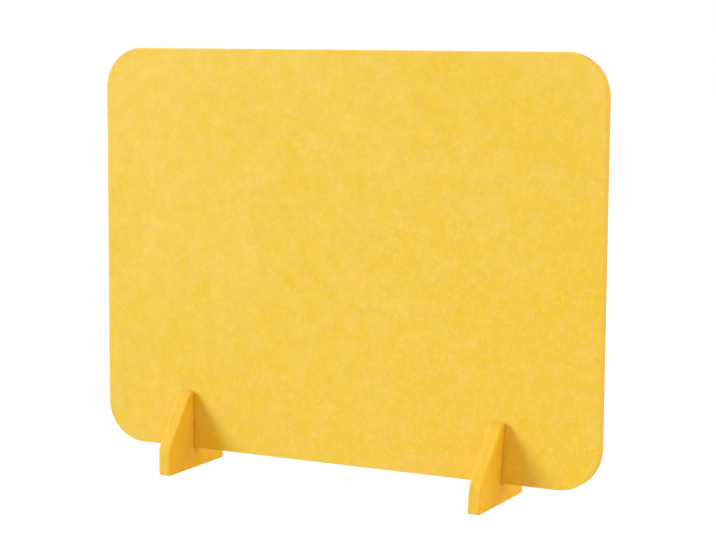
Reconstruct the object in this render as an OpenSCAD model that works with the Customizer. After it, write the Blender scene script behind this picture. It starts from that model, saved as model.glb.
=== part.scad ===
// Desk-top acoustic divider screen: one pressed-felt panel that stands in two slotted felt feet.
// Millimetres, +Z up. The origin is on the table under the middle of the panel;
// X runs along the panel, from its left end to its right end, and -Y faces the viewer.

/* [Panel] */
// Width of the panel
panel_w = 600; // [400:10:1200]
// Height of the panel itself, without the gap below it
panel_h = 450; // [250:10:900]
// Thickness of the felt board that the panel is cut from
panel_t = 12; // [6:0.5:25]
// Radius of the panel's four corners
corner_r = 46; // [5:1:80]
// Gap between the table and the panel's bottom edge, which is the web of a foot under its slot
panel_lift = 23; // [10:0.5:40]

/* [Feet] */
// Thickness of the felt board that the feet are cut from
foot_t = 15; // [8:0.5:30]
// Length of a foot on the table, from front to back
foot_d = 115; // [80:1:240]
// Height of a foot's upright front and back edges
toe_h = 30; // [5:1:38]
// Depth of a foot's slot, which is how far the foot reaches up the panel
slot_depth = 65; // [30:1:120]
// Flat length of a foot's top on each side of the slot
slot_wall = 7.2; // [3:0.1:12]
// Free play between the panel and the slot, on each side
slot_play = 0.3; // [0.1:0.05:1]

/* [Places] */
// Distance from the panel's left end to the middle of the left foot
left_foot_in = 108; // [96:1:180]
// Distance from the panel's right end to the middle of the right foot
right_foot_in = 117; // [96:1:180]
// Lean of the right foot towards its end of the panel, in degrees; its base stays flat
right_foot_lean = 3.6; // [0:0.1:6]

/* [Hidden] */

$fn = 128;
felt_color = [0.96, 0.80, 0.33];

// How far a cutting shape runs past the face that it cuts
overrun = 2;

slot_w = panel_t + 2 * slot_play;
foot_top_d = slot_w + 2 * slot_wall;
foot_h = panel_lift + slot_depth;

// Middles of the feet along the panel
left_foot_x = -panel_w / 2 + left_foot_in;
right_foot_x = panel_w / 2 - right_foot_in;

// Face outline of the panel: width on the first axis, height on the second
module panel_outline() {
    translate([corner_r - panel_w / 2, 0]) square([panel_w - 2 * corner_r, panel_h]);
    translate([-panel_w / 2, corner_r]) square([panel_w, panel_h - 2 * corner_r]);
    for (x = [corner_r - panel_w / 2, panel_w / 2 - corner_r], y = [corner_r, panel_h - corner_r])
        translate([x, y]) circle(corner_r);
}

// Side outline of a foot: depth on the first axis, height on the second.
// A long base, upright toes, and slopes up to a narrow flat top.
module foot_side_outline() {
    polygon([
        [-foot_d / 2, 0],
        [foot_d / 2, 0],
        [foot_d / 2, toe_h],
        [foot_top_d / 2, foot_h],
        [-foot_top_d / 2, foot_h],
        [-foot_d / 2, toe_h]
    ]);
}

// Front outline of the felt that a foot is cut from: a band as thick as the felt, run past the
// foot's base and top, that leans sideways by an angle and crosses the table line unshifted
module foot_front_outline(lean) {
    low = -overrun;
    high = foot_h + overrun;
    polygon([
        [low * tan(lean) - foot_t / 2, low],
        [low * tan(lean) + foot_t / 2, low],
        [high * tan(lean) + foot_t / 2, high],
        [high * tan(lean) - foot_t / 2, high]
    ]);
}

// One foot on the table, centred on X and Y. The slot is open at the top and at both sides,
// and the panel's bottom edge stands on the slot's floor.
module foot(lean) {
    reach = foot_t + 2 * foot_h * tan(lean) + 2 * overrun;
    difference() {
        intersection() {
            rotate([90, 0, 90]) linear_extrude(reach, center = true) foot_side_outline();
            rotate([90, 0, 0]) linear_extrude(foot_d + 2 * overrun, center = true) foot_front_outline(lean);
        }
        translate([-reach / 2, -slot_w / 2, panel_lift]) cube([reach, slot_w, slot_depth + overrun]);
    }
}

// The panel: one flat board with round corners, its bottom edge straight and without a notch
module panel() {
    color(felt_color)
        translate([0, 0, panel_lift])
            rotate([90, 0, 0]) linear_extrude(panel_t, center = true) panel_outline();
}

// The left foot stands square to the table
module left_foot() {
    color(felt_color) translate([left_foot_x, 0, 0]) foot(0);
}

// The right foot stands a little askew, its top towards the panel's end
module right_foot() {
    color(felt_color) translate([right_foot_x, 0, 0]) foot(right_foot_lean);
}

panel();
left_foot();
right_foot();
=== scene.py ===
"""Dresses the desk-top acoustic screen: a pressed-felt panel that stands in two slotted felt feet.

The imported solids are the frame. Every outline is read from them, so each board keeps the size and the
place that it has there, and only its surface is made here: eased edges and corners, slightly uneven
pressed faces, furrows where the board was cut, and the felt itself. Lengths are in metres.
"""

import logging
import math
from abc import ABC, abstractmethod
from dataclasses import dataclass, field
from enum import Enum
from typing import Any, ClassVar, Sequence, Union

import bpy
import numpy as np
from mathutils import Matrix, Vector, geometry, noise


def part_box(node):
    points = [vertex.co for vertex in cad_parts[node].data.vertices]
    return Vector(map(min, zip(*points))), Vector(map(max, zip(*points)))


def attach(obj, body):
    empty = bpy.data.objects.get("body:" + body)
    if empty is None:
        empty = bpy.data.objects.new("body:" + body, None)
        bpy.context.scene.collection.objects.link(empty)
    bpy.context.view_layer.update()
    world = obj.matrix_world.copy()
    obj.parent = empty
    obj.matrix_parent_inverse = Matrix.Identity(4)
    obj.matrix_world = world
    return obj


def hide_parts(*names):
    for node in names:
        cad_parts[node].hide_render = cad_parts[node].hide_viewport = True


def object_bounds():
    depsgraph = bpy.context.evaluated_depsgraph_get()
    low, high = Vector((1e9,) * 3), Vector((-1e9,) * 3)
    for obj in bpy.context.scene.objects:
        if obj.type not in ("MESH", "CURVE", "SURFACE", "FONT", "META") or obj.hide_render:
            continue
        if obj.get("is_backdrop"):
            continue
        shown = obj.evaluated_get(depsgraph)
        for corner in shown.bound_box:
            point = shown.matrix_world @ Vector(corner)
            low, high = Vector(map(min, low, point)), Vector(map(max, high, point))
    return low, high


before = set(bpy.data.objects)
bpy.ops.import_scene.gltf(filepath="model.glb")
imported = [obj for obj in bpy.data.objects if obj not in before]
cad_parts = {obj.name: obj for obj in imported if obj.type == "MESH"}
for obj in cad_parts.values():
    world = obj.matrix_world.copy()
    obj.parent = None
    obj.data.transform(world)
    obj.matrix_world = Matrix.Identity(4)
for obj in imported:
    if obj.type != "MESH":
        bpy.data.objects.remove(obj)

log = logging.getLogger("acoustic_screen")

MM = 0.001
# A vertex this close to a level counts as lying on it.
NEAR = 0.01 * MM
# Places along an axis are told apart to a micron.
PLACE_DIGITS = 6
WHITE = (1.0, 1.0, 1.0, 1.0)

Number = Union["Signal", float]
Triple = tuple[float, float, float]


class Axis(Enum):
    """An axis of the frame, by its place in a vector."""

    X = 0
    Y = 1
    Z = 2


class BoardData(Enum):
    """What each board's mesh tells its material, as the names of its attributes."""

    PLACE = "board_place"
    CUT = "board_cut"


class Signal:
    """A shader socket that takes part in sums, written as Python writes them.

    Sums on numbers add Math nodes, and sums that hold a vector add Vector Math nodes.
    """

    def __init__(self, shader: "Shader", socket: bpy.types.NodeSocket) -> None:
        """Wraps one output socket of a shader's tree.

        Args:
            shader: The tree's wrapper, to which sums add their nodes.
            socket: The output socket.
        """
        self.shader = shader
        self.socket = socket

    @property
    def is_vector(self) -> bool:
        """Whether the socket carries a vector or a colour."""
        return self.socket.type in {"VECTOR", "RGBA"}

    def _sum(self, operation: str, first: Any, second: Any) -> "Signal":
        """Adds the node for one operation on two terms.

        Args:
            operation: The name that Math and Vector Math nodes share for it.
            first: A signal, a number or three numbers.
            second: The same.

        Returns:
            The result.
        """
        terms = (first, second)
        vector = any(t.is_vector if isinstance(t, Signal) else isinstance(t, tuple) for t in terms)
        if vector:
            terms = tuple((t,) * 3 if isinstance(t, (int, float)) else t for t in terms)
        kind = "ShaderNodeVectorMath" if vector else "ShaderNodeMath"
        return self.shader.node(kind, {"operation": operation}, dict(enumerate(terms)))

    def __add__(self, other: Any) -> "Signal":
        """Adds."""
        return self._sum("ADD", self, other)

    def __radd__(self, other: Any) -> "Signal":
        """Adds to a plain value."""
        return self._sum("ADD", other, self)

    def __sub__(self, other: Any) -> "Signal":
        """Subtracts."""
        return self._sum("SUBTRACT", self, other)

    def __rsub__(self, other: Any) -> "Signal":
        """Subtracts from a plain value."""
        return self._sum("SUBTRACT", other, self)

    def __mul__(self, other: Any) -> "Signal":
        """Multiplies."""
        return self._sum("MULTIPLY", self, other)

    def __rmul__(self, other: Any) -> "Signal":
        """Multiplies a plain value."""
        return self._sum("MULTIPLY", other, self)

    def __truediv__(self, other: Any) -> "Signal":
        """Divides."""
        return self._sum("DIVIDE", self, other)

    def larger(self, other: Number) -> "Signal":
        """Takes the larger of two numbers."""
        return self._sum("MAXIMUM", self, other)

    def ramp(self, low: float, high: float) -> "Signal":
        """Eases a number from 0 at one value to 1 at another."""
        return self.shader.node(
            "ShaderNodeMapRange",
            {"interpolation_type": "SMOOTHSTEP", "clamp": True},
            {"Value": self, "From Min": low, "From Max": high},
        )


class Shader:
    """The node tree of one material or world.

    Attributes:
        MIX_FACTOR, MIX_A, MIX_B, MIX_RESULT: Places of a Mix node's sockets for colours, which share
            their names with its sockets for numbers and vectors.
        NOISE_MIDDLE: What a Noise node gives on average.
    """

    MIX_FACTOR, MIX_A, MIX_B, MIX_RESULT = 0, 6, 7, 2
    NOISE_MIDDLE = 0.5

    def __init__(self, owner: bpy.types.Material | bpy.types.World) -> None:
        """Takes over the tree of a material or a world, and clears it.

        Args:
            owner: What the tree belongs to.
        """
        owner.use_nodes = True
        self.owner = owner
        self.tree = owner.node_tree
        self.tree.nodes.clear()

    def add(
        self,
        kind: str,
        settings: dict[str, Any] | None = None,
        sockets: dict[str | int, Any] | None = None,
    ) -> bpy.types.Node:
        """Adds one node.

        Args:
            kind: The node's type.
            settings: Its properties, which are set first.
            sockets: The value or the signal of each input, by name or by place.

        Returns:
            The node.
        """
        made = self.tree.nodes.new(kind)
        for name, value in (settings or {}).items():
            setattr(made, name, value)
        for name, value in (sockets or {}).items():
            if isinstance(value, Signal):
                self.tree.links.new(value.socket, made.inputs[name])
            else:
                made.inputs[name].default_value = value
        return made

    def node(
        self,
        kind: str,
        settings: dict[str, Any] | None = None,
        sockets: dict[str | int, Any] | None = None,
        out: str | int = 0,
    ) -> Signal:
        """Adds one node for the sake of one of its outputs.

        Args:
            kind: The node's type.
            settings: Its properties, which are set first.
            sockets: The value or the signal of each input, by name or by place.
            out: The output that is wanted, by name or by place.

        Returns:
            That output.
        """
        return Signal(self, self.add(kind, settings, sockets).outputs[out])

    def attribute(self, data: BoardData, out: str) -> Signal:
        """Reads what a board's mesh holds under one name."""
        return self.node("ShaderNodeAttribute", {"attribute_name": data.value}, out=out)

    def grain(
        self,
        place: Signal,
        size: Triple,
        detail: float,
        rough: float = 0.55,
        out: str = "Fac",
    ) -> Signal:
        """Adds fractal noise whose lumps have a size along each axis.

        Args:
            place: Where the noise is read.
            size: The lumps' length along each of the place's axes.
            detail: How many finer layers lie on the first.
            rough: How strong each finer layer is, as a share of the one before.
            out: Fac for a number, Color for three at once.

        Returns:
            The noise, mostly from -0.2 to 0.2 on each side of 0.
        """
        scaled = place * tuple(1 / s for s in size)
        noisy = self.node(
            "ShaderNodeTexNoise",
            {"noise_dimensions": "3D"},
            {"Vector": scaled, "Scale": 1.0, "Detail": detail, "Roughness": rough},
            out,
        )
        return noisy - (self.NOISE_MIDDLE if out == "Fac" else (self.NOISE_MIDDLE,) * 3)

    def blend(self, low: Any, high: Any, share: Number) -> Signal:
        """Mixes two colours.

        Args:
            low: The colour at a share of 0, as linear values or a signal.
            high: The colour at a share of 1.
            share: How much of the second shows.

        Returns:
            The mixed colour.
        """
        low, high = ((*c, 1.0) if isinstance(c, tuple) else c for c in (low, high))
        return self.node(
            "ShaderNodeMix",
            {"data_type": "RGBA", "clamp_factor": True},
            {self.MIX_FACTOR: share, self.MIX_A: low, self.MIX_B: high},
            self.MIX_RESULT,
        )

    def finished(self, shader: Signal) -> bpy.types.Material | bpy.types.World:
        """Joins a shader to the output and gives the material or the world."""
        outputs = {bpy.types.Material: "ShaderNodeOutputMaterial", bpy.types.World: "ShaderNodeOutputWorld"}
        self.add(outputs[type(self.owner)], sockets={"Surface": shader})
        return self.owner


@dataclass(frozen=True)
class Mottle:
    """One kind of unevenness in a felt's colour.

    Attributes:
        size: Length of its largest patches.
        strength: How much it adds, for noise that runs mostly from -0.2 to 0.2.
        detail: How many finer layers lie on the largest.
        rough: How strong each finer layer is, as a share of the one before.
    """

    size: float
    strength: float
    detail: float
    rough: float = 0.6

    def on(self, shader: Shader, place: Signal, out: str = "Fac") -> Signal:
        """Reads the unevenness at a place, with its strength."""
        return shader.grain(place, (self.size,) * 3, self.detail, self.rough, out) * self.strength


@dataclass(frozen=True)
class FeltFinish:
    """Polyester felt, dyed through and pressed into a board.

    Attributes:
        name: The material's name.
        dye: The felt's linear colour on the whole.
        sawn_and_painted_light: What share of each colour of the dye a cut face shows. This is partly the
            cut fibre's own paler look
        and partly painted light: cut faces made paler and bluer, as where light falls, and pressed faces
        kept deeper orange, as in shade.
        bare: What undyed fibre adds to the dye where it lies on top.
        drift: The slow change of bare fibre across a board.
        cloud: The soft patches of more and less bare fibre.
        shade: The patches that are lighter and darker, with no change of hue.
        hue: The patches that lean to pink or to green.
        hue_reach: How far they go in each colour.
        wisp: Length and width of one wisp of bare fibres.
        wisp_headings_deg: The directions in which wisps lie, over each other.
        wisp_detail: How many finer layers the noise has that bends wisps and lays them.
        wisp_band: The noise at which a wisp starts, and at which it is full.
        wisp_share: How much bare fibre shows on a wisp.
        wisp_relief: Height of a wisp, as a share of the relief.
        sawn_loss: What share of the bare fibre a cut face lacks.
        sawn_rough: How much rougher a cut face is.
        layer: Length along the cut and height of one layer that shows in a cut face.
        layer_detail: How many finer layers the noise has that draws them.
        layer_share: How much the layers lighten and darken a cut face.
        layer_bare: How much more bare fibre some of them show.
        layer_relief: Height of a layer, as a share of the relief.
        edge_highlight_in: Where the painted highlight on an eased edge comes in, from 0, the pressed face,
            to 1, the cut one.
        edge_highlight_out: Where it goes out again.
        edge_fuzz_and_highlight: How much pale bare fibre is added on an eased edge, partly the fuzzier
            edge's own paleness and partly a painted highlight.
        edge_painted_highlight: How much lighter the felt is painted there, a painted highlight along the
            arris.
        relief: Height of the fibres over the felt.
        roughness: Of a pressed face.
        gloss: Level of its reflection.
        sheen: How much loose fibre ends catch the light.
        sheen_rough: How wide they spread it.
    """

    name: str
    dye: Triple
    sawn_and_painted_light: Triple
    bare: Triple = (0.10, 0.09, 0.125)
    drift: Mottle = Mottle(size=170 * MM, strength=0.40, detail=1.0)
    cloud: Mottle = Mottle(size=20 * MM, strength=0.72, detail=2.0)
    shade: Mottle = Mottle(size=9 * MM, strength=0.17, detail=2.5, rough=0.75)
    hue: Mottle = Mottle(size=9 * MM, strength=1.0, detail=1.0)
    hue_reach: Triple = (0.012, 0.032, 0.006)
    wisp: tuple[float, float] = (13 * MM, 2.6 * MM)
    wisp_headings_deg: tuple[float, ...] = (12.0, 58.0, 101.0, 147.0)
    wisp_detail: float = 1.0
    wisp_band: tuple[float, float] = (0.10, 0.24)
    wisp_share: float = 0.30
    wisp_relief: float = 0.5
    sawn_loss: float = 0.5
    sawn_rough: float = 0.34
    layer: tuple[float, float] = (24 * MM, 0.8 * MM)
    layer_detail: float = 3.0
    layer_share: float = 0.08
    layer_bare: float = 0.25
    layer_relief: float = 2.0
    edge_highlight_in: tuple[float, float] = (0.0, 0.25)
    edge_highlight_out: tuple[float, float] = (0.3, 1.0)
    edge_fuzz_and_highlight: float = 0.12
    edge_painted_highlight: float = 0.06
    relief: float = 0.10 * MM
    roughness: float = 0.56
    gloss: float = 0.36
    sheen: float = 0.04
    sheen_rough: float = 0.5

    def _wisps(self, shader: Shader, place: Signal) -> Signal:
        """Lays thin bent wisps of fibre over each other in several directions.

        Args:
            shader: The material's tree.
            place: The place on the board.

        Returns:
            1 on the middle of a wisp and 0 between wisps.
        """
        length, width = self.wisp
        bent = place + shader.grain(place, (length,) * 3, self.wisp_detail, out="Color") * length
        wisps = None
        for heading in self.wisp_headings_deg:
            turned = shader.node(
                "ShaderNodeVectorRotate",
                {"rotation_type": "Z_AXIS"},
                {"Vector": bent, "Angle": math.radians(heading)},
            )
            # Each direction reads its own part of the noise, so that no two repeat each other.
            elsewhere = turned + (heading * MM,) * 3
            strand = shader.grain(elsewhere, (length, width, width), self.wisp_detail).ramp(*self.wisp_band)
            wisps = strand if wisps is None else wisps.larger(strand)
        return wisps

    def material(self) -> bpy.types.Material:
        """Builds the felt's material.

        Returns:
            The material, which reads BoardData from the mesh that wears it.
        """
        shader = Shader(bpy.data.materials.new(self.name))
        place = shader.attribute(BoardData.PLACE, "Vector")
        cut = shader.attribute(BoardData.CUT, "Fac")

        wisps = self._wisps(shader, place)
        shade = self.shade.on(shader, place)
        # Painted highlight: the band round each eased edge, where the felt's colour is made paler as if
        # light caught the arris.
        eased = cut.ramp(*self.edge_highlight_in) * (1 - cut.ramp(*self.edge_highlight_out))
        length, height = self.layer
        layers = shader.grain(place, (length, length, height), self.layer_detail)

        bare = self.drift.on(shader, place) + self.cloud.on(shader, place) + wisps * self.wisp_share
        # The eased band adds pale fibre and lightens the felt: a painted highlight, partly the fuzzier
        # edge's own paleness.
        bare = bare * (1 - cut * self.sawn_loss) + eased * self.edge_fuzz_and_highlight + layers * cut * self.layer_bare
        light = 1 + shade + layers * cut * self.layer_share + eased * self.edge_painted_highlight
        # Painted light, partly the felt's own: cut faces get a paler, bluer colour and pressed faces a
        # deeper orange, as lit and shaded faces look.
        cut_colour_with_painted_light = tuple(c * s for c, s in zip(self.dye, self.sawn_and_painted_light))
        dyed = shader.blend(self.dye, cut_colour_with_painted_light, cut) * light
        colour = dyed + self.bare * bare + self.hue.on(shader, place, "Color") * self.hue_reach

        fibres = wisps * self.wisp_relief + shade / self.shade.strength
        raised = fibres * (1 - cut) + layers * self.layer_relief * cut
        bumped = shader.node(
            "ShaderNodeBump",
            sockets={"Strength": 1.0, "Distance": self.relief, "Height": raised},
        )
        felt = shader.node(
            "ShaderNodeBsdfPrincipled",
            sockets={
                "Base Color": colour,
                "Roughness": self.roughness + shade + cut * self.sawn_rough,
                "Normal": bumped,
                "Specular IOR Level": self.gloss,
                "Sheen Weight": self.sheen,
                "Sheen Roughness": self.sheen_rough,
            },
        )
        return shader.finished(felt)


def packed_points(node: str) -> list[Vector]:
    """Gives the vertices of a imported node, in the frame."""
    return [vertex.co.copy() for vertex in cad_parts[node].data.vertices]


def levels(node: str, axis: Axis) -> list[float]:
    """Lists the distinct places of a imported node's vertices along one axis.

    Args:
        node: The node's name.
        axis: The axis to read.

    Returns:
        The places, lowest first, to a micron.
    """
    return sorted({round(point[axis.value], PLACE_DIGITS) for point in packed_points(node)})


@dataclass(frozen=True)
class Corner:
    """One corner of a board's outline, with the radius that it is cut to."""

    u: float
    v: float
    radius: float = 0.0


def rounded(corners: Sequence[Corner], step: float, least_pieces: int = 2) -> list[Vector]:
    """Draws a closed outline with its corners rounded.

    Args:
        corners: The corners, anticlockwise.
        step: The greatest length of one straight piece of an arc.
        least_pieces: How many pieces even the smallest arc has.

    Returns:
        The outline's points, anticlockwise.
    """
    points: list[Vector] = []
    for i, corner in enumerate(corners):
        here = Vector((corner.u, corner.v))
        if not corner.radius:
            points.append(here)
            continue
        last, following = corners[i - 1], corners[(i + 1) % len(corners)]
        back = (Vector((last.u, last.v)) - here).normalized()
        ahead = (Vector((following.u, following.v)) - here).normalized()
        half = back.angle(ahead) / 2
        middle = here + (back + ahead).normalized() * corner.radius / math.sin(half)
        reach = corner.radius / math.tan(half)
        first, final = here + back * reach - middle, here + ahead * reach - middle
        pieces = max(least_pieces, math.ceil(corner.radius * (math.pi - 2 * half) / step))
        spokes = (first.slerp(final, k / pieces).normalized() for k in range(pieces + 1))
        points += [middle + spoke * corner.radius for spoke in spokes]
    return points


def divided(outline: Sequence[Vector], step: float, clear: float) -> list[Vector]:
    """Divides the long sides of a closed outline.

    Args:
        outline: Its points, anticlockwise.
        step: The greatest distance between the points that divide a side.
        clear: How far they keep from the side's ends. A line that lies as far inside the outline as
            this doesn't cross itself at a sharp corner.

    Returns:
        The points with those that divide their sides, anticlockwise.
    """
    points: list[Vector] = []
    for i, here in enumerate(outline):
        following = outline[(i + 1) % len(outline)]
        length = (following - here).length
        pieces = max(1, math.ceil(length / step))
        places = [length * k / pieces for k in range(1, pieces)]
        points += [here] + [here.lerp(following, p / length) for p in places if clear < p < length - clear]
    return points


def miters(outline: Sequence[Vector]) -> list[Vector]:
    """Finds the way outwards at each point of a closed outline.

    Args:
        outline: Its points, anticlockwise.

    Returns:
        For each point the move that takes both of its sides outwards by a length of 1.
    """
    ways: list[Vector] = []
    for i, here in enumerate(outline):
        following = outline[(i + 1) % len(outline)]
        into, onward = (here - outline[i - 1]).normalized(), (following - here).normalized()
        first, second = Vector((into.y, -into.x)), Vector((onward.y, -onward.x))
        ways.append((first + second) / (1 + first.dot(second)))
    return ways


@dataclass(frozen=True)
class Ring:
    """One line round a board, level with its faces.

    Attributes:
        inset: How far it lies inside the board's outline.
        level: Its place through the board's thickness.
        cut: 0 where it borders a pressed face, 1 on the cut face.
        facing: How far its surface looks along the thickness, from -1 to 1.
    """

    inset: float
    level: float
    cut: float
    facing: float


@dataclass
class Skin:
    """The surface of one board while it is made, on the board's own axes.

    Attributes:
        places: Where each point lies, before hollows and furrows sink it.
        normals: The way outwards at each point.
        cuts: 0 where a point lies on a pressed face, 1 on a cut one.
        faces: The points round each face, anticlockwise as seen from outside.
    """

    places: list[Vector] = field(default_factory=list)
    normals: list[Vector] = field(default_factory=list)
    cuts: list[float] = field(default_factory=list)
    faces: list[tuple[int, ...]] = field(default_factory=list)

    def add(self, place: Vector, normal: Vector, cut: float) -> None:
        """Adds one point."""
        self.places.append(place)
        self.normals.append(normal)
        self.cuts.append(cut)


@dataclass
class FeltBoard(ABC):
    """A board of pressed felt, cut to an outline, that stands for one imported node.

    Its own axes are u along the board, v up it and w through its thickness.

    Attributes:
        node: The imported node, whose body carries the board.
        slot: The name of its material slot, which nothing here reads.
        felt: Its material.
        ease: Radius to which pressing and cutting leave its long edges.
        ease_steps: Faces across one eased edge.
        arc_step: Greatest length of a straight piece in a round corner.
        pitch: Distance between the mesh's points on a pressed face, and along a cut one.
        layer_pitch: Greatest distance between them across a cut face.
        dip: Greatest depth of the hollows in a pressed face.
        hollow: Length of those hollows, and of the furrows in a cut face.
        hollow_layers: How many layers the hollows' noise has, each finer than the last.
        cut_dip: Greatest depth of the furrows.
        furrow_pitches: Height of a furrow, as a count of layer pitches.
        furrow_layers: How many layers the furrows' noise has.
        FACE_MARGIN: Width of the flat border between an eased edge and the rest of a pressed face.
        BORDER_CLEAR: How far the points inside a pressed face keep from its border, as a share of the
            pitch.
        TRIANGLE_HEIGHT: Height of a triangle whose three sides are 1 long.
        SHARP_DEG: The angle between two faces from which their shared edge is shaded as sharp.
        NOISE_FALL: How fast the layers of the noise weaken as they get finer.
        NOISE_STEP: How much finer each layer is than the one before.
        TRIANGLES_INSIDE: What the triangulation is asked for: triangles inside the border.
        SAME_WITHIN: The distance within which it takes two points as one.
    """

    FACE_MARGIN: ClassVar[float] = 0.3 * MM
    BORDER_CLEAR: ClassVar[float] = 0.45
    TRIANGLE_HEIGHT: ClassVar[float] = math.sqrt(0.75)
    SHARP_DEG: ClassVar[float] = 50.0
    NOISE_FALL: ClassVar[float] = 1.0
    NOISE_STEP: ClassVar[float] = 2.0
    TRIANGLES_INSIDE: ClassVar[int] = 1
    SAME_WITHIN: ClassVar[float] = 1e-7

    node: str
    slot: str
    felt: bpy.types.Material
    ease: float = 1.1 * MM
    ease_steps: int = 4
    arc_step: float = 2.5 * MM
    pitch: float = 3.3 * MM
    layer_pitch: float = 0.9 * MM
    dip: float = 0.12 * MM
    hollow: float = 16 * MM
    hollow_layers: int = 3
    cut_dip: float = 0.15 * MM
    furrow_pitches: int = 3
    furrow_layers: int = 2

    @abstractmethod
    def thickness(self) -> float:
        """The board's thickness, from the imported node."""

    @abstractmethod
    def outline(self) -> list[Vector]:
        """The outline that the board is cut to, anticlockwise, on u and v."""

    @abstractmethod
    def standing(self) -> Matrix:
        """The way from the board's own axes to the frame's."""

    def _face_inset(self) -> float:
        """How far inside the outline the rest of a pressed face starts."""
        return self.ease + self.FACE_MARGIN

    def _rings(self) -> list[Ring]:
        """Lists the lines round the board, from one pressed face over its edge to the other."""
        half = self.thickness() / 2
        flat = half - self.ease
        eased = [Ring(inset=self._face_inset(), level=half, cut=0.0, facing=1.0)]
        for k in range(self.ease_steps + 1):
            turn = k * math.pi / 2 / self.ease_steps
            inset, level = self.ease * (1 - math.sin(turn)), flat + self.ease * math.cos(turn)
            eased.append(Ring(inset, level, cut=turn / (math.pi / 2), facing=math.cos(turn)))
        rows = math.ceil(2 * flat / self.layer_pitch)
        rim = [Ring(0.0, flat - 2 * flat * k / rows, cut=1.0, facing=0.0) for k in range(1, rows)]
        return eased + rim + [Ring(r.inset, -r.level, r.cut, -r.facing) for r in reversed(eased)]

    def _face_points(self, border: list[Vector]) -> list[Vector]:
        """Spreads points evenly inside a border, clear of it.

        Args:
            border: The closed border of a pressed face.

        Returns:
            The points.
        """
        edge = np.array(border)
        side = np.roll(edge, -1, axis=0) - edge
        low, high = edge.min(axis=0), edge.max(axis=0)
        row_height = self.pitch * self.TRIANGLE_HEIGHT
        points: list[Vector] = []
        for row, v in enumerate(np.arange(low[1] + row_height / 2, high[1], row_height)):
            spread = np.arange(low[0] + self.pitch * (row % 2) / 2, high[0], self.pitch)
            places = np.stack([spread, np.full_like(spread, v)], axis=1)

            from_corner = places[:, None, :] - edge
            share = np.clip((from_corner * side).sum(axis=2) / (side**2).sum(axis=1), 0, 1)
            distance = np.linalg.norm(from_corner - share[..., None] * side, axis=2).min(axis=1)
            clear = distance > self.pitch * self.BORDER_CLEAR

            # A place is inside where the row crosses the border an odd number of times beyond it.
            crossed = (edge[:, 1] <= v) != (np.roll(edge[:, 1], -1) <= v)
            crossing = edge[crossed, 0] + (v - edge[crossed, 1]) * side[crossed, 0] / side[crossed, 1]
            inside = (crossing > spread[:, None]).sum(axis=1) % 2 == 1
            points += [Vector(place) for place in places[inside & clear]]
        return points

    def _depth(self, place: Vector, greatest: float, layers: int) -> float:
        """Reads a depth from noise.

        Args:
            place: Where to read it, in lengths of the noise's lumps.
            greatest: The depth where the noise is 1, which it seldom passes.
            layers: How many layers the noise has, each finer than the last.

        Returns:
            The depth, which is 0 where the noise is -1.
        """
        return greatest * (0.5 + 0.5 * noise.fractal(place, self.NOISE_FALL, self.NOISE_STEP, layers))

    def _relief(self, place: Vector, cut: float) -> float:
        """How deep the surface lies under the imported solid, which it never rises over.

        Args:
            place: The place in the felt's pattern.
            cut: 0 on a pressed face, 1 on a cut one.

        Returns:
            The depth.
        """
        furrow_height = self.furrow_pitches * self.layer_pitch
        along = Vector((place.x / self.hollow, place.y / self.hollow, place.z / furrow_height))
        pressed = self._depth(place / self.hollow, self.dip * (1 - cut), self.hollow_layers)
        furrowed = self._depth(along, self.cut_dip * cut, self.furrow_layers)
        return max(0.0, pressed + furrowed)

    def _pattern_shift(self) -> Vector:
        """How far along the felt this board was cut, so that no two boards look alike."""
        return Vector((sum(self.node.encode()) * MM, 0, 0))

    def _add_edge(self, skin: Skin, border: list[Vector]) -> None:
        """Adds the lines round the board, and the faces that join each to the next.

        Args:
            skin: What they are added to, still empty.
            border: The outline's points.
        """
        around, rings, outwards = len(border), self._rings(), miters(border)
        for ring in rings:
            for point, way in zip(border, outwards):
                place = (point - way * ring.inset).to_3d()
                normal = (way.normalized() * math.sqrt(1 - ring.facing**2)).to_3d()
                place.z, normal.z = ring.level, ring.facing
                skin.add(place, normal, ring.cut)
        for first in range(0, around * (len(rings) - 1), around):
            for k in range(around):
                here, following = first + k, first + (k + 1) % around
                skin.faces.append((here, here + around, following + around, following))

    def _add_pressed_faces(self, skin: Skin, around: int) -> None:
        """Closes both ends of the edge with one pattern of triangles.

        Args:
            skin: What they are added to, with its edge in place.
            around: How many points lie on each line round the board.
        """
        border = [Vector(place[:2]) for place in skin.places[:around]]
        inner = self._face_points(border)
        flat = geometry.delaunay_2d_cdt(
            border + inner, [], [list(range(around))], self.TRIANGLES_INSIDE, self.SAME_WITHIN
        )
        triangles, origins = flat[2], [names[0] for names in flat[3]]
        for border_start, facing in ((0, 1.0), (len(skin.places) - around, -1.0)):
            level = skin.places[border_start].z
            inner_start = len(skin.places) - around
            for point in inner:
                skin.add(Vector((point.x, point.y, level)), Vector((0, 0, facing)), 0.0)
            for corners in triangles:
                known = [origins[c] for c in corners]
                named = [n + (border_start if n < around else inner_start) for n in known]
                skin.faces.append(tuple(named if facing > 0 else reversed(named)))

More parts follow.
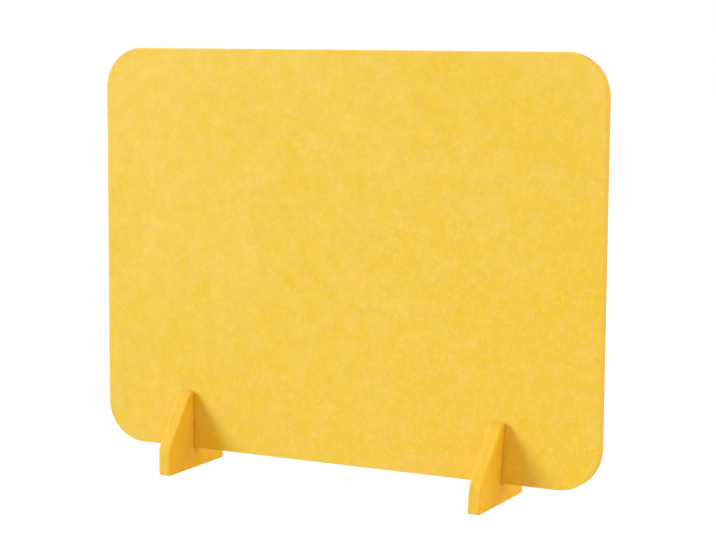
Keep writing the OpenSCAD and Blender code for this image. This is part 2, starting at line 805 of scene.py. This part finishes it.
    def _mesh(self, skin: Skin) -> bpy.types.Mesh:
        """Sinks a skin by its hollows and furrows, and stands it in the frame.

        Args:
            skin: The board's surface.

        Returns:
            The mesh, which holds BoardData and wears the felt.
        """
        shift, standing = self._pattern_shift(), self.standing()
        pattern = [place + shift for place in skin.places]
        sunk = [
            standing @ (place - normal * self._relief(known, cut))
            for place, normal, known, cut in zip(skin.places, skin.normals, pattern, skin.cuts)
        ]
        mesh = bpy.data.meshes.new(self.node + "_felt")
        mesh.from_pydata(sunk, [], skin.faces)
        place_data = mesh.attributes.new(BoardData.PLACE.value, "FLOAT_VECTOR", "POINT").data
        place_data.foreach_set("vector", [number for place in pattern for number in place])
        mesh.attributes.new(BoardData.CUT.value, "FLOAT", "POINT").data.foreach_set("value", skin.cuts)
        mesh.materials.append(self.felt)
        mesh.shade_smooth()
        mesh.set_sharp_from_angle(angle=math.radians(self.SHARP_DEG))
        return mesh

    def build(self) -> bpy.types.Object:
        """Builds the board and sets it in its place in the frame.

        Returns:
            The board, which rides on its node's body and stands for the node.
        """
        border = divided(self.outline(), self.pitch, self._face_inset())
        skin = Skin()
        self._add_edge(skin, border)
        self._add_pressed_faces(skin, len(border))
        made = bpy.data.objects.new(self.node + "_felt", self._mesh(skin))
        bpy.context.scene.collection.objects.link(made)
        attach(made, self.node)
        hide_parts(self.node)
        return made


@dataclass
class ScreenPanel(FeltBoard):
    """The panel: u is the frame's X, v its Z, and w points to the viewer."""

    def thickness(self) -> float:
        """The panel's thickness, front to back."""
        low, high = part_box(self.node)
        return high.y - low.y

    def outline(self) -> list[Vector]:
        """A rectangle with four round corners."""
        low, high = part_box(self.node)
        top = [point.x for point in packed_points(self.node) if high.z - point.z < NEAR]
        radius = high.x - max(top)
        ends = ((low.x, low.z), (high.x, low.z), (high.x, high.z), (low.x, high.z))
        return rounded([Corner(x, z, radius) for x, z in ends], self.arc_step)

    def standing(self) -> Matrix:
        """Stands the panel up: w becomes the way to the viewer."""
        return Matrix(((1, 0, 0, 0), (0, 0, -1, 0), (0, 1, 0, 0), (0, 0, 0, 1)))


@dataclass
class SlottedFoot(FeltBoard):
    """A foot: u is the frame's Y, v its Z, and w its X, carried sideways by the foot's lean.

    Attributes:
        nose: Radius of the cut corners, larger than the inset of a pressed face.
        shoulder_nose: The same for the corner between a slope and the flat top.
    """

    ease: float = 2.0 * MM
    ease_steps: int = 6
    pitch: float = 1.4 * MM
    arc_step: float = 0.7 * MM
    nose: float = 2.6 * MM
    shoulder_nose: float = 9.0 * MM

    def _base_span(self) -> tuple[float, float]:
        """Where the foot's base starts and ends along X."""
        base = [point.x for point in packed_points(self.node) if point.z < NEAR]
        return min(base), max(base)

    def thickness(self) -> float:
        """The foot's thickness along X, at its base."""
        low, high = self._base_span()
        return high - low

    def outline(self) -> list[Vector]:
        """A trapezium on upright toes, with a slot open at the top."""
        *_, slot, shoulder, toe = levels(self.node, Axis.Y)
        ground, slot_floor, knee, top = levels(self.node, Axis.Z)
        front = [
            Corner(toe, ground, self.nose),
            Corner(toe, knee, self.nose),
            Corner(shoulder, top, self.shoulder_nose),
            Corner(slot, top),
            Corner(slot, slot_floor),
        ]
        back = [Corner(-c.u, c.v, c.radius) for c in reversed(front)]
        return rounded(front + back, self.arc_step)

    def standing(self) -> Matrix:
        """Stands the foot across the panel, at its middle and with its lean."""
        low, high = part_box(self.node)
        base_low, base_high = self._base_span()
        lean = ((low.x - base_low) + (high.x - base_high)) / high.z
        middle = (base_low + base_high) / 2
        return Matrix(((0, lean, 1, middle), (1, 0, 0, 0), (0, 1, 0, 0), (0, 0, 0, 1)))


@dataclass(frozen=True)
class PhotoCamera:
    """A camera that stands where the reference view was taken from.

    Attributes:
        place: Where it stands.
        yaw_deg: How far it looks to the right of the frame's Y axis, less than 0 to the left.
        pitch_deg: How far it looks down.
        roll_deg: How far it is turned about its own line of sight.
        focal_px: Its focal length, as a count of the photograph's pixels.
        PHOTO_WIDTH_PX: Width of the photograph.
        SENSOR_WIDTH_MM: Width of the sensor that the focal length is turned into millimetres for.
    """

    PHOTO_WIDTH_PX: ClassVar[int] = 716
    SENSOR_WIDTH_MM: ClassVar[float] = 36.0

    place: Triple = (0.9635, -1.8489, 0.4843)
    yaw_deg: float = -27.054
    pitch_deg: float = 6.779
    roll_deg: float = -0.366
    focal_px: float = 1942.4

    def build(self) -> bpy.types.Object:
        """Makes the camera and gives it to the scene.

        Returns:
            The camera.
        """
        yaw, pitch, roll = (math.radians(a) for a in (self.yaw_deg, self.pitch_deg, self.roll_deg))
        ahead = Vector((math.sin(yaw) * math.cos(pitch), math.cos(yaw) * math.cos(pitch), -math.sin(pitch)))
        level_right = Vector((math.cos(yaw), -math.sin(yaw), 0))
        level_down = ahead.cross(level_right)
        right = level_right * math.cos(roll) + level_down * math.sin(roll)
        down = level_down * math.cos(roll) - level_right * math.sin(roll)
        data = bpy.data.cameras.new("photo_camera")
        data.sensor_fit = "HORIZONTAL"
        data.sensor_width = self.SENSOR_WIDTH_MM
        data.lens = self.focal_px / self.PHOTO_WIDTH_PX * self.SENSOR_WIDTH_MM
        camera = bpy.data.objects.new("photo_camera", data)
        axes = Matrix((right, -down, -ahead)).transposed()
        camera.matrix_world = Matrix.Translation(self.place) @ axes.to_4x4()
        bpy.context.scene.collection.objects.link(camera)
        bpy.context.scene.camera = camera
        return camera


@dataclass(frozen=True)
class Softbox:
    """A square studio lamp that faces the screen's middle.

    Attributes:
        name: What the lamp is for.
        towards: The direction from the screen to the lamp.
        level: How bright it makes a white card that faces it, where 1 is white.
        distance: From the screen's middle.
        width: Of the lamp's face.
        tint: Its colour.
    """

    name: str
    towards: Triple
    level: float
    distance: float
    width: float
    tint: Triple = (1.0, 1.0, 1.0)

    def build(self, target: Vector) -> bpy.types.Object:
        """Hangs the lamp.

        Args:
            target: The point that it faces.

        Returns:
            The lamp.
        """
        data = bpy.data.lights.new(self.name, "AREA")
        data.shape = "SQUARE"
        data.size = self.width
        data.energy = self.level * (math.pi * self.distance) ** 2
        data.color = self.tint
        lamp = bpy.data.objects.new(self.name, data)
        away = Vector(self.towards).normalized()
        turned = away.to_track_quat("Z", "Y").to_matrix().to_4x4()
        lamp.matrix_world = Matrix.Translation(target + away * self.distance) @ turned
        bpy.context.scene.collection.objects.link(lamp)
        return lamp


@dataclass(frozen=True)
class Studio:
    """A white studio: an even surround, a pale floor and four softboxes.

    Attributes:
        surround: How bright the surround makes a white card.
        surround_tint: Its colour, warmer than the lamps.
        floor_width: Width of the floor.
        floor_white: How much light the floor gives back.
        floor_glow: How much of the floor's white is its own, where it is seen directly.
        floor_shade: How much of it comes from the light that falls there, which keeps the shadow.
        key: The lamp at the front left.
        kicker: The wide lamp on the right, a little behind.
        overhead: The weak lamp above.
        back: The lamp behind, for the views from there.
    """

    surround: float = 0.43
    surround_tint: Triple = (1.28, 1.0, 0.64)
    floor_width: float = 60.0
    floor_white: float = 0.80
    floor_glow: float = 0.87
    floor_shade: float = 0.30
    key: Softbox = Softbox(
        name="key_softbox",
        towards=(-1.25, -1.0, 0.45),
        level=0.75,
        distance=14.0,
        width=5.4,
        tint=(0.73, 1.0, 1.52),
    )
    kicker: Softbox = Softbox(
        name="side_softbox",
        towards=(1.0, 0.2, 0.42),
        level=0.66,
        distance=6.0,
        width=7.0,
    )
    overhead: Softbox = Softbox(
        name="top_softbox",
        towards=(0.0, -0.2, 1.0),
        level=0.14,
        distance=5.0,
        width=4.0,
    )
    back: Softbox = Softbox(
        name="back_softbox",
        towards=(-0.45, 1.0, 0.12),
        level=0.32,
        distance=8.0,
        width=4.0,
        tint=(0.70, 1.0, 1.45),
    )

    @staticmethod
    def _seen(shader: Shader) -> Signal:
        """1 for a ray that shows a thing directly, in a gloss or through glass, and else 0."""
        kinds = ("Is Camera Ray", "Is Glossy Ray", "Is Transmission Ray")
        camera, glossy, transmission = (shader.node("ShaderNodeLightPath", out=kind) for kind in kinds)
        return camera.larger(glossy).larger(transmission)

    def _floor(self) -> bpy.types.Object:
        """Lays the floor, which keeps the screen's shadow.

        Returns:
            The floor.
        """
        half = self.floor_width / 2
        corners = [(-half, -half, 0), (half, -half, 0), (half, half, 0), (-half, half, 0)]
        mesh = bpy.data.meshes.new("floor")
        mesh.from_pydata(corners, [], [(0, 1, 2, 3)])
        shader = Shader(bpy.data.materials.new("floor_paper"))
        white = (self.floor_white,) * 3
        shade = tuple(self.floor_shade / c for c in self.surround_tint)
        lit = shader.node("ShaderNodeBsdfDiffuse", sockets={"Color": (*white, 1.0)})
        faint = shader.node("ShaderNodeBsdfDiffuse", sockets={"Color": (*shade, 1.0)})
        glow = shader.node("ShaderNodeEmission", sockets={"Strength": self.floor_glow})
        shown = shader.node("ShaderNodeAddShader", sockets={0: faint, 1: glow})
        paper = shader.node("ShaderNodeMixShader", sockets={0: self._seen(shader), 1: lit, 2: shown})
        mesh.materials.append(shader.finished(paper))
        floor = bpy.data.objects.new("floor", mesh)
        bpy.context.scene.collection.objects.link(floor)
        floor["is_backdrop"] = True
        return floor

    def _surround(self) -> None:
        """Lights the scene evenly and shows white behind it."""
        shader = Shader(bpy.data.worlds.new("studio_surround"))
        lighting = shader.node(
            "ShaderNodeBackground",
            sockets={"Color": (*self.surround_tint, 1.0), "Strength": self.surround},
        )
        shown = shader.node("ShaderNodeBackground", sockets={"Color": WHITE, "Strength": 1.0})
        mixed = shader.node("ShaderNodeMixShader", sockets={0: self._seen(shader), 1: lighting, 2: shown})
        bpy.context.scene.world = shader.finished(mixed)

    def build(self) -> None:
        """Sets up the floor, the surround, the lamps and the plain view transform."""
        low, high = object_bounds()
        middle = (low + high) / 2
        self._floor()
        self._surround()
        for lamp in (self.key, self.kicker, self.overhead, self.back):
            lamp.build(middle)
        bpy.context.scene.view_settings.view_transform = "Standard"


# Painted light, partly the felt's own: the panel's cut rim is paler and bluer, and its eased edges carry a
# painted highlight.
PANEL_FELT = FeltFinish(
    name="panel_felt",
    dye=(0.858, 0.536, 0.029),
    sawn_and_painted_light=(0.93, 0.985, 2.3),
    edge_fuzz_and_highlight=0.30,
    edge_painted_highlight=0.14,
)
# Painted light and shade, partly the felt's own: a low blue dye keeps the feet's pressed sides deep orange
# as in shade, and the cut-face colour makes their toes and slopes pale as where light falls.
FOOT_FELT = FeltFinish(
    name="foot_felt",
    dye=(0.922, 0.535, 0.012),
    sawn_and_painted_light=(0.945, 0.978, 3.8),
    gloss=0.16,
    layer_share=0.24,
    layer_bare=0.6,
)


def main() -> None:
    """Builds the camera, the boards and the studio."""
    logging.basicConfig(level=logging.INFO, format="%(name)s: %(message)s")
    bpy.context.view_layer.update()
    PhotoCamera().build()
    panel_felt, foot_felt = PANEL_FELT.material(), FOOT_FELT.material()
    boards = (
        ScreenPanel("panel", "panel_felt", panel_felt),
        SlottedFoot("left_foot", "foot_felt", foot_felt),
        SlottedFoot("right_foot", "foot_felt", foot_felt),
    )
    for board in boards:
        made = board.build()
        log.info("%s: %d faces, %.1f mm board", made.name, len(made.data.polygons), board.thickness() / MM)
    Studio().build()


if __name__ == "__main__":
    main()
